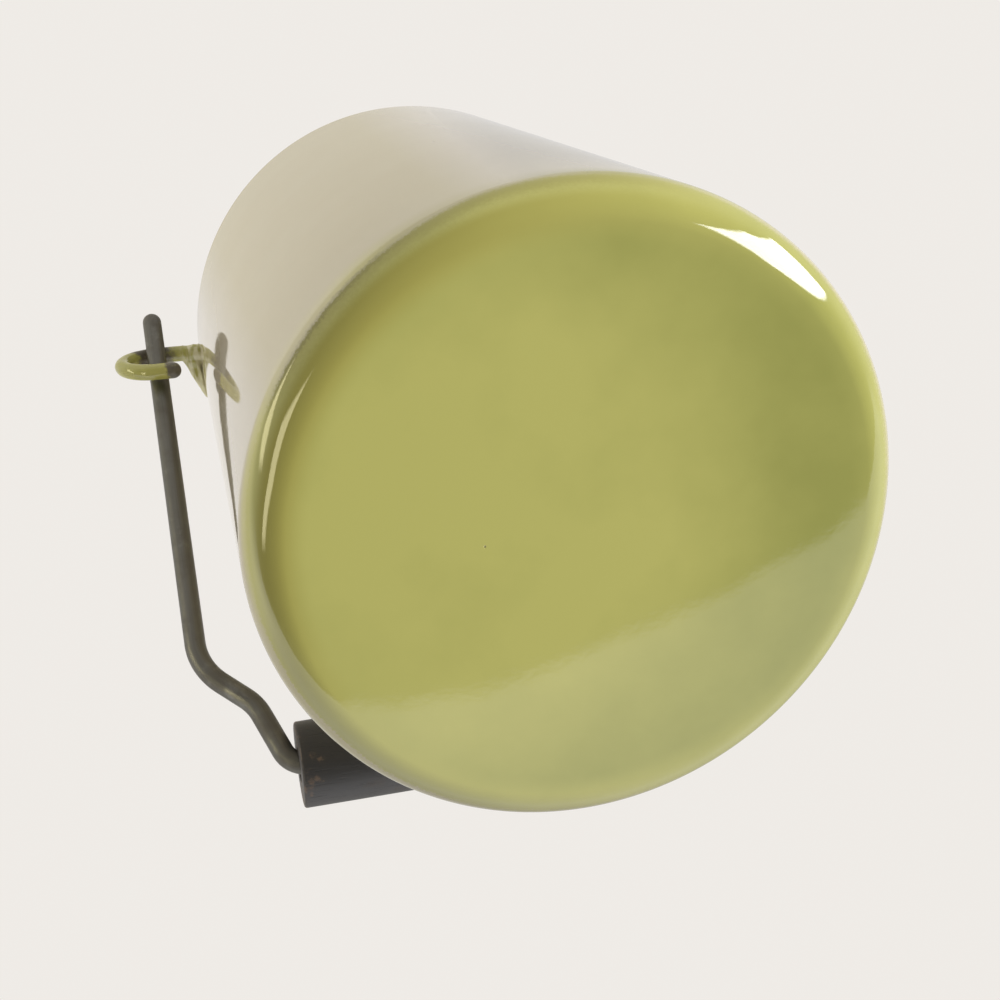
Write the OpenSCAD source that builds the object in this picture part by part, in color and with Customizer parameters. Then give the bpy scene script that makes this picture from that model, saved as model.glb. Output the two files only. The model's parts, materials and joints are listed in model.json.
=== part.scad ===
// Enamel milk can: drawn body, shoulder with a curled mouth, two wire ears, a bail with a wooden grip, and a lid.
// Frame: origin at the centre of the base, +Z up the can, +X from the left ear to the right ear. The bail hangs on
// the +Y side, where its grip leans on the wall. Millimetres and degrees.

/* [Body] */
// Outer radius of the wall
body_r = 62; // [52:1:70]
// Height of the straight wall, from the table to the shoulder seam
wall_h = 166; // [140:1:200]
// Thickness of the enamelled sheet
sheet = 1.2; // [0.9:0.1:1.6]
// Outer radius of the corner between base and wall
base_corner_r = 7.5; // [4:0.5:12]

/* [Shoulder and neck] */
// Outer radius of the neck
neck_r = 45.2; // [40:0.2:47]
// Outer radius of the round between wall and shoulder
shoulder_round_r = 9; // [6:0.5:11]
// Slope of the shoulder above level
shoulder_slope = 25; // [15:1:35]
// Outer radius of the hollow between shoulder and neck
neck_root_r = 6; // [3:0.5:7]
// Height of the straight neck, up to the middle of the mouth bead
neck_h = 14; // [12:0.5:20]
// Diameter of the wire in the mouth bead
rim_wire_d = 3.2; // [2.4:0.1:4]
// Gap all round the wire inside the bead
curl_gap = 0.05; // [0.03:0.01:0.1]

/* [Ears] */
// Diameter of the ear wire
ear_wire_d = 4.3; // [3.6:0.1:5]
// Height of the ear's upper bar below the shoulder seam
ear_drop = 5; // [4:0.5:12]
// Distance from the wall to the middle of the eye's outer bend
eye_out = 11.8; // [10:0.1:15]
// Radius of the eye's outer bend, at the middle of the wire
eye_r = 8.8; // [8.6:0.1:10]
// Straight length of the lower bar, back from the outer bend
eye_tail = 4.2; // [3:0.1:5]
// Reach of the foot along the wall
foot_spread = 13; // [8:0.5:15]
// Reach of the foot out along the upper bar
foot_out = 6; // [4:0.5:7]
// Height of the foot's tip off the wall
foot_tip = 1; // [0.6:0.1:1.6]
// Thickness of the foot
foot_t = 3; // [2:0.1:3.6]
// Weld seam between the foot and the wall
weld_gap = 0.05; // [0.03:0.01:0.1]

/* [Bail] */
// Diameter of the bail wire
bail_wire_d = 5; // [4.2:0.1:5.2]
// Gap between the hook's strands and the ear's upper bar
hook_gap = 0.3; // [0.25:0.05:0.4]
// Distance from the ear's bar to the middle of the hook's round end
hook_overrun = 5.5; // [4.5:0.1:5.8]
// Length of the hook's return strand past the ear's bar
hook_return = 5; // [3:0.5:6]
// Distance from the ear's bar to the grip's axis, along the leg
bail_len = 127.5; // [118:0.5:138]
// Distance from the grip's axis back to the knee, along the leg
knee_back = 28; // [27:0.5:36]
// Distance of the knee in from the middle of the eye, towards the can
knee_in = 1.4; // [0:0.1:3]
// Bend radius of the knee
knee_r = 16; // [11:0.5:18]
// Bend radius of the S-bend below the knee
ankle_r = 13; // [9:0.5:15]
// Length of the straight from the S-bend to the grip's corner
ankle_len = 17.5; // [15:0.5:19]
// Lean of that straight from the leg's direction
ankle_lean = 20; // [14:1:24]
// Radius of the bend that enters the grip
entry_r = 6; // [5.5:0.1:7]

/* [Grip] */
// Length of the grip
grip_len = 105.5; // [96:0.5:114]
// Diameter of the grip at the middle
grip_d = 20; // [18.5:0.25:24]
// Diameter of the grip at its ends
grip_end_d = 19.6; // [17:0.2:19.8]
// Rounding of the grip's end edges
grip_edge_r = 0.6; // [0.4:0.1:2]
// Running clearance between the bore and the bail wire, on the radius
bore_gap = 0.1; // [0.05:0.01:0.1]
// Depth that the wire's end bends reach into the grip
bend_inside = 2.5; // [1.5:0.25:2.8]
// Clearance between the bore's mouth and the bend
mouth_gap = 0.6; // [0.4:0.1:1]
// Gap between the grip and the wall when the bail leans on it
rest_gap = 0.3; // [0.3:0.05:0.5]

/* [Lid] */
// Gap between the lid's flange and the mouth bead
lid_gap = 0.3; // [0.2:0.05:0.5]
// Clearance between the lid's lip and the mouth bead
lip_gap = 1.5; // [1:0.1:2]
// Length of the lip below the flange
lip_h = 5; // [4:0.25:7]
// Outer radius of the round between flange and lip
lip_round_r = 2.8; // [2:0.1:3.2]
// Rise of the dome from the flange to its crown, before the seat for the knob is flattened
dome_h = 14; // [9:0.5:18]
// Radius of the flat seat for the knob
seat_r = 13; // [12:0.5:16]
// Width of the flat ring between the dome and the collar
flange_in = 2; // [1:0.25:4]
// Clearance between the collar and the neck
collar_gap = 0.7; // [0.5:0.1:1]
// Thickness of the collar
collar_t = 1; // [0.8:0.1:1.4]
// Depth of the collar below the flange
collar_h = 13; // [9:0.5:16]

/* [Knob] */
// Largest radius of the knob
knob_r = 15; // [13:0.5:18]
// Radius of the knob's foot
knob_foot_r = 9; // [8:0.5:10]
// Radius of the knob's waist
knob_waist_r = 7; // [6:0.25:7.5]
// Height of the knob
knob_h = 24; // [21:0.5:28]
// Height of the knob's rounded head
knob_head_h = 9; // [7:0.5:11]
// Radius of the washer
washer_r = 11; // [10.5:0.5:12]
// Thickness of the washer
washer_t = 1.5; // [1:0.1:2]
// Diameter of the screw's shank
screw_d = 5; // [4:0.5:6]
// Diameter of the screw's head
screw_head_d = 9.5; // [8:0.5:11]
// Height of the screw's head
screw_head_h = 3; // [2.5:0.25:4]
// Depth of the screw in the knob
screw_in = 14; // [10:0.5:16]
// Clearance of the screw in the lid and the washer, on the radius
screw_gap = 0.25; // [0.1:0.05:0.4]
// Clearance of the screw in the knob, on the radius, and past its tip
thread_gap = 0.05; // [0.03:0.01:0.1]

/* [Hidden] */
$fn = 96;

// Colours of the enamels, the wire and the wood
cream = [0.84, 0.82, 0.75];
green = [0.66, 0.66, 0.36];
steel = [0.36, 0.34, 0.30];
wood = [0.20, 0.18, 0.17];

// Steps along a round in a turned profile
round_steps = 10;
curl_steps = 24;
barrel_steps = 14;
dome_steps = 14;
// Length by which a cutter runs past the face that it cuts
past = 1;
// A bend is this much stouter than the wire, on the radius, and the straights run this far into it
bend_swell = 0.02;
bend_lap = 0.3;

// Points of an arc about c, from angle a0 to a1
function arc(c, r, a0, a1, n = round_steps) =
    [for (i = [0:n]) let (a = a0 + (a1 - a0) * i / n) c + r * [cos(a), sin(a)]];
// A point of the turned profile at angle a on a circle about c
function polar(c, r, a) = c + r * [cos(a), sin(a)];

// Shoulder: the wall's round, a straight slope, and the hollow at the neck's root
wall_top = [body_r - shoulder_round_r, wall_h];
slope_low = polar(wall_top, shoulder_round_r, 90 - shoulder_slope);
hollow_x = neck_r + neck_root_r;
hollow_touch_x = hollow_x - neck_root_r * sin(shoulder_slope);
slope_rise = (slope_low.x - hollow_touch_x) * tan(shoulder_slope);
neck_foot = slope_low.y + slope_rise + neck_root_r * cos(shoulder_slope);
hollow = [hollow_x, neck_foot];

// Mouth bead: the neck's edge curled outwards round the rim wire
neck_in = neck_r - sheet;
curl_in_r = rim_wire_d / 2 + curl_gap;
curl_out_r = curl_in_r + sheet;
bead = [neck_in + curl_out_r, neck_foot + neck_h];
bead_top = bead.y + curl_out_r;
bead_out = bead.x + curl_out_r;
// The curl stops short of the neck by half a sheet
curl_end = -acos((sheet * 1.5 - curl_out_r) / curl_out_r);

// Ears: the hook of the bail hangs on the upper bar, over the middle of the outer bend
ear_z = wall_h - ear_drop;
eye_x = body_r + eye_out;

// Bail, in its own plane: x across the can, s along the leg from the ear's bar
hook_r = ear_wire_d / 2 + hook_gap + bail_wire_d / 2;
bend_end_x = grip_len / 2 - bend_inside;
entry = [bend_end_x + entry_r * tan((90 - ankle_lean) / 2), bail_len];
ankle = entry + ankle_len * [sin(ankle_lean), -cos(ankle_lean)];
knee = [eye_x - knee_in, bail_len - knee_back];
bail_path = [
    [eye_x, -hook_overrun], knee, ankle, entry, [-entry.x, entry.y], [-ankle.x, ankle.y], [-knee.x, knee.y],
    [-eye_x, -hook_overrun]
];
bail_bends = [0, knee_r, ankle_r, entry_r, entry_r, ankle_r, knee_r, 0];

// At rest the grip leans on the wall, unless the leg meets the eye's lower bar first
lean_out = body_r + grip_d / 2 + rest_gap;
wall_drop = acos(lean_out / norm([bail_len, hook_r])) - atan2(hook_r, bail_len);
eye_drop = acos(min(1, hook_r / eye_r));
rest_drop = min(wall_drop, eye_drop);

// Grip
bore_r = bail_wire_d / 2 + bore_gap;
bend_in_r = entry_r - bail_wire_d / 2;
mouth_r = entry_r - sqrt(bend_in_r * bend_in_r - bend_inside * bend_inside) + mouth_gap;
mouth_h = bend_inside + mouth_gap;

// Lid
flange_z = bead_top + lid_gap;
flange_top = flange_z + sheet;
lip_in = bead_out + lip_gap;
lip_out = lip_in + sheet;
collar_out = neck_in - collar_gap;
collar_in = collar_out - collar_t;
dome_r = collar_in - flange_in;
dome_ball_r = (dome_r * dome_r + dome_h * dome_h) / (2 * dome_h);
// Height of the dome's outside above the flange at radius r
function dome(r) = sqrt(dome_ball_r * dome_ball_r - r * r) - (dome_ball_r - dome_h);
seat_top = flange_top + dome(seat_r);
knob_z = seat_top + washer_t;

// A straight stretch of wire from a to b, in the XY plane
module rod(a, b, d) {
    run = b - a;
    translate(a)
        rotate([0, 0, atan2(run.y, run.x)])
            rotate([0, 90, 0])
                cylinder(d = d, h = norm(run));
}

// A bend of wire about c, turning anticlockwise through turn from angle a0, in the XY plane
module elbow(c, r, a0, turn, d) {
    translate(c)
        rotate([0, 0, a0])
            rotate_extrude(angle = turn)
                translate([r, 0])
                    circle(d = d + 2 * bend_swell);
}

// Wire along points, with each inner point rounded to its bend radius, in the XY plane
function along(p, i) = (p[i + 1] - p[i]) / norm(p[i + 1] - p[i]);
function bend_turn(p, i) = acos(along(p, i - 1) * along(p, i));
function bend_cut(p, r, i) = r[i] == 0 ? 0 : r[i] * tan(bend_turn(p, i) / 2);
function straight_cut(p, r, i) = bend_cut(p, r, i) - bend_lap;
function bend_side(p, i) = sign(cross(along(p, i - 1), along(p, i)));
module wire(p, r, d) {
    last = len(p) - 1;
    for (i = [0:last - 1])
        rod(p[i] + along(p, i) * straight_cut(p, r, i), p[i + 1] - along(p, i) * straight_cut(p, r, i + 1), d);
    for (i = [1:last - 1]) {
        before = along(p, i - 1);
        after = along(p, i);
        side = bend_side(p, i);
        start = p[i] - before * bend_cut(p, r, i);
        c = start + side * r[i] * [-before.y, before.x];
        from = side > 0 ? [before.y, -before.x] : [-after.y, after.x];
        elbow(c, r[i], atan2(from.y, from.x), bend_turn(p, i), d);
    }
}

module body_shell() {
    corner = [body_r - base_corner_r, base_corner_r];
    color(cream)
        rotate_extrude()
            polygon(concat(
                [[0, 0]],
                arc(corner, base_corner_r, -90, 0),
                [[body_r, wall_h], [body_r - sheet, wall_h]],
                arc(corner, base_corner_r - sheet, 0, -90),
                [[0, sheet]]
            ));
}

module shoulder() {
    color(cream)
        rotate_extrude()
            polygon(concat(
                arc(wall_top, shoulder_round_r, 0, 90 - shoulder_slope),
                arc(hollow, neck_root_r, 270 - shoulder_slope, 180),
                arc(bead, curl_in_r, 180, curl_end, curl_steps),
                arc(bead, curl_out_r, curl_end, 180, curl_steps),
                arc(hollow, neck_root_r + sheet, 180, 270 - shoulder_slope),
                arc(wall_top, shoulder_round_r - sheet, 90 - shoulder_slope, 0)
            ));
}

module rim_wire() {
    color(steel)
        rotate_extrude()
            translate(bead)
                circle(d = rim_wire_d);
}

// The right ear, with its upper bar along +X at height ear_z
module ear() {
    color(green)
        difference() {
            translate([0, 0, ear_z]) {
                rod([0, 0], [eye_x + bend_lap, 0], ear_wire_d);
                translate([eye_x, 0, -eye_r])
                    rotate([90, 0, 0])
                        elbow([0, 0], eye_r, -90, 180, ear_wire_d);
                translate([0, 0, -2 * eye_r])
                    rod([eye_x - eye_tail, 0], [eye_x + bend_lap, 0], ear_wire_d);
                translate([eye_x - eye_tail, 0, -2 * eye_r])
                    sphere(d = ear_wire_d);
                translate([0, 0, -foot_t / 2])
                    linear_extrude(foot_t)
                        polygon([
                            [0, 0],
                            [body_r + foot_out, 0],
                            [sqrt(body_r * body_r - foot_spread * foot_spread) + foot_tip, foot_spread],
                            [0, foot_spread]
                        ]);
            }
            translate([0, 0, ear_z - body_r])
                cylinder(r = body_r + weld_gap, h = 2 * body_r);
        }
}

module ear_right() {
    ear();
}

module ear_left() {
    mirror([1, 0, 0])
        ear();
}

// Puts what is drawn upright, with the ear's bar at the origin, where the bail rests
module at_rest() {
    translate([0, 0, ear_z])
        rotate([-90 - rest_drop, 0, 0])
            children();
}

module hook() {
    translate([0, 0, -hook_overrun])
        rotate([90, 0, 90])
            elbow([0, 0], hook_r, 180, 180, bail_wire_d);
    translate([0, -hook_r, -hook_overrun - bend_lap])
        cylinder(d = bail_wire_d, h = bend_lap + hook_overrun + hook_return);
    translate([0, -hook_r, hook_return])
        sphere(d = bail_wire_d);
}

module bail_wire() {
    color(steel)
        at_rest() {
            translate([0, hook_r, 0])
                rotate([90, 0, 0])
                    wire(bail_path, bail_bends, bail_wire_d);
            for (x = [-eye_x, eye_x])
                translate([x, 0, 0])
                    hook();
        }
}

// Radius of the grip's barrel at x from its middle
function barrel(x) = grip_d / 2 - (grip_d - grip_end_d) / 2 * pow(2 * x / grip_len, 2);

module grip() {
    half = grip_len / 2;
    edge_x = half - grip_edge_r;
    edge_r = barrel(edge_x) - grip_edge_r;
    color(wood)
        at_rest()
            translate([0, hook_r, bail_len])
                rotate([0, 90, 0])
                    difference() {
                        rotate_extrude()
                            polygon(concat(
                                [[0, -half]],
                                arc([edge_r, -edge_x], grip_edge_r, -90, 0),
                                [for (i = [1:barrel_steps - 1])
                                    let (x = edge_x * (2 * i / barrel_steps - 1)) [barrel(x), x]],
                                arc([edge_r, edge_x], grip_edge_r, 0, 90),
                                [[0, half]]
                            ));
                        translate([0, 0, -half - past])
                            cylinder(r = bore_r, h = grip_len + 2 * past);
                        for (end = [0, 1])
                            mirror([0, 0, end])
                                translate([0, 0, half - mouth_h])
                                    cylinder(r1 = bore_r, r2 = mouth_r, h = mouth_h);
                    }
}

module lid_cap() {
    lip_corner = [lip_out - lip_round_r, flange_top - lip_round_r];
    dome_out = [for (i = [0:dome_steps])
        let (r = seat_r + (dome_r - seat_r) * i / dome_steps) [r, flange_top + dome(r)]];
    dome_under = [for (i = [dome_steps:-1:0]) dome_out[i] - [0, sheet]];
    hole_r = screw_d / 2 + screw_gap;
    color(green)
        difference() {
            rotate_extrude()
                polygon(concat(
                    [[0, seat_top]],
                    dome_out,
                    arc(lip_corner, lip_round_r, 90, 0),
                    [[lip_out, flange_z - lip_h], [lip_in, flange_z - lip_h]],
                    arc(lip_corner, lip_round_r - sheet, 0, 90),
                    dome_under,
                    [[0, seat_top - sheet]]
                ));
            translate([0, 0, seat_top - sheet - past])
                cylinder(r = hole_r, h = sheet + 2 * past);
        }
}

module lid_collar() {
    color(green)
        translate([0, 0, flange_z - collar_h])
            difference() {
                cylinder(r = collar_out, h = collar_h);
                translate([0, 0, -past])
                    cylinder(r = collar_in, h = collar_h + 2 * past);
            }
}

module lid_knob() {
    head_z = knob_h - knob_head_h;
    waist_z = head_z / 2;
    color(wood)
        translate([0, 0, knob_z])
            difference() {
                rotate_extrude()
                    polygon(concat(
                        [[0, 0], [knob_foot_r, 0]],
                        [for (i = [1:round_steps])
                            let (a = 180 * i / round_steps)
                            [knob_waist_r + (knob_foot_r - knob_waist_r) * (1 + cos(a)) / 2, waist_z * i / round_steps]],
                        [for (i = [1:round_steps])
                            let (a = 90 * i / round_steps)
                            [knob_waist_r + (knob_r - knob_waist_r) * (1 - cos(a)), waist_z + waist_z * sin(a)]],
                        [for (i = [1:round_steps])
                            let (a = 90 * i / round_steps) [knob_r * cos(a), head_z + knob_head_h * sin(a)]]
                    ));
                translate([0, 0, -past])
                    cylinder(d = screw_d + 2 * thread_gap, h = past + screw_in + thread_gap);
            }
}

module knob_washer() {
    color(steel)
        translate([0, 0, seat_top])
            difference() {
                cylinder(r = washer_r, h = washer_t);
                translate([0, 0, -past])
                    cylinder(d = screw_d + 2 * screw_gap, h = washer_t + 2 * past);
            }
}

module knob_screw() {
    head_z = seat_top - sheet - screw_head_h;
    color(steel)
        translate([0, 0, head_z]) {
            cylinder(d = screw_head_d, h = screw_head_h);
            cylinder(d = screw_d, h = screw_head_h + sheet + washer_t + screw_in);
        }
}

body_shell();
shoulder();
rim_wire();
ear_left();
ear_right();
bail_wire();
grip();
lid_cap();
lid_collar();
lid_knob();
knob_washer();
knob_screw();
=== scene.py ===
import json
import math

import bmesh
import bpy
from mathutils import Matrix, Vector, noise


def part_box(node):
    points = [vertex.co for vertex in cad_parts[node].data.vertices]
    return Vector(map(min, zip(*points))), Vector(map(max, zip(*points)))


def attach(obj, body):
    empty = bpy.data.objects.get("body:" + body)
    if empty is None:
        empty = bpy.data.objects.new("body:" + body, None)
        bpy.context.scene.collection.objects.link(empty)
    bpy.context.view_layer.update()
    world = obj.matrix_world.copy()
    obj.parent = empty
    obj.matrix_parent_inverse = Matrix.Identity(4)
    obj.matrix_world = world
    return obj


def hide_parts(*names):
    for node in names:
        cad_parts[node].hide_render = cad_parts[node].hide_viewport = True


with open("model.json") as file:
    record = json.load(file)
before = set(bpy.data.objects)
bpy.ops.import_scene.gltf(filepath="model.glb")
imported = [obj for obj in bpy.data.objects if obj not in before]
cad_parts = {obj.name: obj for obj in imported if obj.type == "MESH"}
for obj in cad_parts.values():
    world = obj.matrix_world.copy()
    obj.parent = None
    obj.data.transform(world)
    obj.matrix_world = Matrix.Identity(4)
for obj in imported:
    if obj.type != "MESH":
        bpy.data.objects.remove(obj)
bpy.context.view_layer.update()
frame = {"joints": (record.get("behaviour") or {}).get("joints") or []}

MM = 0.001
AXIS_X = Vector((1, 0, 0))

# Body and shoulder: the frame gives the large sizes, and the rounds are written here
_, body_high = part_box("body_shell")
rim_low, rim_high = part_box("rim_wire")
BODY_R = body_high.x
WALL_H = body_high.z
SHEET = 1.2 * MM
BASE_CORNER_R = 7.5 * MM
SHOULDER_ROUND_R = 9 * MM
SHOULDER_SLOPE = math.radians(25)
NECK_ROOT_R = 6 * MM
CURL_GAP = 0.05 * MM
RIM_WIRE_R = (rim_high.z - rim_low.z) / 2
BEAD = Vector((rim_high.x - RIM_WIRE_R, (rim_high.z + rim_low.z) / 2))
CURL_IN_R = RIM_WIRE_R + CURL_GAP
CURL_OUT_R = CURL_IN_R + SHEET
NECK_IN = BEAD.x - CURL_OUT_R
NECK_R = NECK_IN + SHEET

# Ears and bail: the joints give the pivot and the grip's axis
joints = {joint["name"]: joint for joint in frame["joints"]}
PIVOT = Vector(joints["bail_swing"]["pos_m"])
GRIP_AXIS = Vector(joints["grip_spin"]["pos_m"])
ear_low, ear_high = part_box("ear_right")
EAR_WIRE_R = ear_high.z - PIVOT.z
EYE_R = (ear_high.z - ear_low.z) / 2 - EAR_WIRE_R
EYE_X = ear_high.x - EYE_R - EAR_WIRE_R
EYE_TAIL = 4.2 * MM
FOOT_SPREAD = 13 * MM
FOOT_OUT = 6 * MM
FOOT_TIP = 1 * MM
FOOT_T = 3 * MM
FOOT_TAPER = 0.3
BAIL_WIRE_R = 2.5 * MM
HOOK_GAP = 0.3 * MM
HOOK_R = EAR_WIRE_R + HOOK_GAP + BAIL_WIRE_R
HOOK_OVERRUN = 5.5 * MM
HOOK_RETURN = 5 * MM
KNEE_BACK = 28 * MM
KNEE_IN = 1.4 * MM
KNEE_R = 16 * MM
ANKLE_R = 13 * MM
ANKLE_LEN = 17.5 * MM
ANKLE_LEAN = math.radians(20)
ENTRY_R = 6 * MM
BEND_INSIDE = 2.5 * MM

# Grip, lid and knob
grip_low, grip_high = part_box("grip")
GRIP_LEN = grip_high.x - grip_low.x
GRIP_R = (grip_high.z - grip_low.z) / 2
GRIP_END_R = 9.8 * MM
GRIP_EDGE_R = 0.6 * MM
BORE_GAP = 0.1 * MM
MOUTH_GAP = 0.6 * MM
cap_low, cap_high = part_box("lid_cap")
collar_low, collar_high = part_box("lid_collar")
washer_low, washer_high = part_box("knob_washer")
knob_low, knob_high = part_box("lid_knob")
screw_low, screw_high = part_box("knob_screw")
LIP_ROUND_R = 2.8 * MM
DOME_H = 14 * MM
SEAT_R = 13 * MM
FLANGE_IN = 2 * MM
COLLAR_T = 1 * MM
SCREW_R = 2.5 * MM
SCREW_HOLE_R = 2.75 * MM
KNOB_FOOT_R = 9 * MM
KNOB_WAIST_R = 7 * MM
KNOB_HEAD_H = 9 * MM
KNOB_FOOT_EDGE = Vector((0.6, 0.5)) * MM
SHANK_GAP = 0.05 * MM
WASHER_EDGE_R = 0.4 * MM
SLOT_WIDTH = 1.4 * MM
SLOT_DEPTH = 1.3 * MM

# How finely the pieces are divided
TURN_STEPS = 256
SMALL_TURN_STEPS = 128
SCREW_TURN_STEPS = 64
ROUND_STEPS = 14
BASE_STEPS = 8
WALL_STEPS = 12
CORNER_STEPS = 28
CURL_STEPS = 40
DOME_STEPS = 30
BARREL_STEPS = 40
KNOB_STEPS = 16
COLLAR_EDGE_STEPS = 10
WASHER_EDGE_STEPS = 6
SCREW_HEAD_STEPS = 12
RIM_SIDES = 24
WIRE_SIDES = 28
WIRE_STEP = 0.8 * MM
LEAST_BEND_STEPS = 8
EYE_STEP = 0.5 * MM
CAP_STEPS = 7
FOOT_ROWS = 15
FOOT_SIDES = 20
SKIN_STEP = 0.22 * MM
SKIN_SOFTENING = 0.5
SKIN_PASSES = 8
POLE_R = 1e-7
SHARP_EDGE = math.radians(38)

# How uneven the wire and the ears' enamel are: a share of the wire's radius, heights, and lumps to the metre
WIRE_DENT = 0.012
DENTS_PER_METRE = 90
EAR_LUMP = 0.06 * MM
EAR_RIDGE = 0.7 * MM
EAR_RIDGE_MOST = 0.3 * MM
EAR_RIDGE_CREST = 0.3
EAR_RIDGE_FALL = 1.8
EAR_LUMPS_PER_METRE = 320
EAR_RIDGES_PER_METRE = (480, 210, 330)


def srgb(red, green, blue):
    """A colour as the photo shows it, 0 to 255, as linear light."""
    def linear(channel):
        share = channel / 255
        return share / 12.92 if share <= 0.04045 else ((share + 0.055) / 1.055) ** 2.4
    return (linear(red), linear(green), linear(blue), 1.0)


class Signal:
    """A socket in a finish's node tree. Arithmetic on it adds Math nodes."""

    def __init__(self, finish, socket):
        self.finish = finish
        self.socket = socket

    def beside(self, output):
        """Another output of the same node."""
        return Signal(self.finish, self.socket.node.outputs[output])

    def math(self, operation, first, second):
        """The result of a Math node on two values."""
        return self.finish.node("Math", {"operation": operation}, {0: first, 1: second})

    def __add__(self, other):
        return self.math("ADD", self, other)

    def __radd__(self, other):
        return self.math("ADD", other, self)

    def __sub__(self, other):
        return self.math("SUBTRACT", self, other)

    def __rsub__(self, other):
        return self.math("SUBTRACT", other, self)

    def __mul__(self, other):
        return self.math("MULTIPLY", self, other)

    def __rmul__(self, other):
        return self.math("MULTIPLY", other, self)

    def __lt__(self, other):
        return self.math("LESS_THAN", self, other)


class Nodes:
    """A node tree that is written as expressions."""

    def __init__(self, tree):
        self.tree = tree

    def feed(self, socket, value):
        """Links a signal to a socket, or sets a plain value on it."""
        if isinstance(value, Signal):
            self.tree.links.new(value.socket, socket)
        else:
            socket.default_value = value

    def node(self, kind, settings=None, sockets=None, out=0):
        """Adds any node: its settings first, then what goes into its sockets."""
        made = self.tree.nodes.new("ShaderNode" + kind)
        for name, value in (settings or {}).items():
            setattr(made, name, value)
        for name, value in (sockets or {}).items():
            self.feed(made.inputs[name], value)
        return Signal(self, made.outputs[out])

    def coordinates(self, where):
        """The three coordinates of a place."""
        split = self.node("SeparateXYZ", {}, {0: where})
        return [split.beside(axis) for axis in range(3)]

    def vector(self, operation, first, second=(0, 0, 0)):
        """Vector Math on places. A length or a distance comes out as a value."""
        out = 1 if operation in ("LENGTH", "DISTANCE") else 0
        return self.node("VectorMath", {"operation": operation}, {0: first, 1: second}, out)

    def stretch(self, where, scale):
        """A place with each of its coordinates scaled."""
        return self.node("Mapping", {"vector_type": "POINT"}, {"Vector": where, "Scale": scale})

    def cloud(self, where, scale, detail=2.0, roughness=0.5):
        """Soft noise from 0 to 1, with that many lumps to the metre."""
        sockets = {"Vector": where, "Scale": scale, "Detail": detail, "Roughness": roughness}
        return self.node("TexNoise", {}, sockets)

    def fade(self, value, low, high, at_low=0.0, at_high=1.0):
        """Runs smoothly from at_low to at_high as value goes from low to high."""
        sockets = {"Value": value, "From Min": low, "From Max": high, "To Min": at_low, "To Max": at_high}
        return self.node("MapRange", {"interpolation_type": "SMOOTHSTEP"}, sockets)

    def fall(self, value, low, high):
        """Runs smoothly from 1 to 0 as value goes from low to high."""
        return self.fade(value, low, high, 1.0, 0.0)

    def mix(self, share, first, second):
        """A colour between two colours."""
        return self.node("Mix", {"data_type": "RGBA"}, {0: share, 6: first, 7: second}, out=2)

    def most(self, first, second):
        """The larger of two values."""
        return self.node("Math", {"operation": "MAXIMUM"}, {0: first, 1: second})

    def bump(self, height, depth, strength=1.0, over=None):
        """Relief of a depth in metres, on its own or over another relief."""
        sockets = {"Height": height, "Distance": depth, "Strength": strength}
        if over is not None:
            sockets["Normal"] = over
        return self.node("Bump", {}, sockets)


class Finish(Nodes):
    """A material with a Principled shader."""

    def __init__(self, name):
        self.material = bpy.data.materials.new(name)
        self.material.use_nodes = True
        super().__init__(self.material.node_tree)
        self.shader = self.tree.nodes["Principled BSDF"]

    def set(self, **sockets):
        """Sets the shader's own sockets, with _ for the spaces in their names."""
        for name, value in sockets.items():
            self.feed(self.shader.inputs[name.replace("_", " ")], value)

    def place(self):
        """A point of the piece, in the can's frame."""
        return self.node("TexCoord").beside("Object")


# The enamel's colours
CREAM = srgb(200, 192, 169)
CREAM_WARM = srgb(194, 183, 156)
GREEN = srgb(183, 180, 101)
GREEN_DEEP = srgb(150, 151, 78)
# Painted shade: the green darkened round the left corner, where shade falls
GREEN_CORNER_SHADE = srgb(162, 155, 76)
# Painted dark reflection: the coat's upper edge darkened towards the -Y side
GREEN_DARK_REFLECTION = srgb(146, 139, 64)
GREEN_RIDGE = srgb(116, 110, 48)
GREEN_LIGHT = srgb(212, 208, 134)
# Thin enamel at the ears' roots, partly a painted highlight
GREEN_THIN_AND_SHEEN = srgb(228, 224, 186)
CHIP = srgb(70, 62, 52)
ENAMEL_IOR = 1.58

# The metal's colours: worn through the ears' enamel, on the bail's wire, and on the small steel pieces
WORN_LIGHT = srgb(112, 104, 86)
WORN_DARK = srgb(66, 61, 50)
WIRE_DARK = srgb(96, 95, 89)
WIRE_LIGHT = srgb(119, 117, 110)
WIRE_STAIN = srgb(86, 80, 71)
WIRE_RUBBED = srgb(147, 145, 139)
STEEL_BRIGHT = srgb(158, 154, 145)
STEEL_TARNISH = srgb(104, 95, 82)

# The wood's colours
WOOD_DARK = srgb(46, 45, 45)
WOOD_LIGHT = srgb(54, 53, 53)
WOOD_WORN = srgb(84, 72, 60)
WOOD_RIM = srgb(110, 92, 75)
WOOD_NICK = srgb(140, 134, 124)
WOOD_PORE = srgb(30, 28, 27)

# The green coat on the base: its thinnest place, the height up to which it is solid, and its mist's heights
THIN_SPOT = Vector((-20, -2, 0)) * MM
COAT_SOLID = 2.8 * MM
MIST_START = 3.1 * MM
MIST_END = 12.6 * MM


def specks(finish, where, per_metre, size, share):
    """Small spots, one in some of the cells of a net with that many cells to the metre."""
    from_centre = finish.node("TexVoronoi", {}, {"Vector": where, "Scale": per_metre})
    draw = finish.node("SeparateColor", {}, {"Color": from_centre.beside("Color")})
    return finish.fall(from_centre, size * 0.6, size) * (draw < share)


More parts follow.
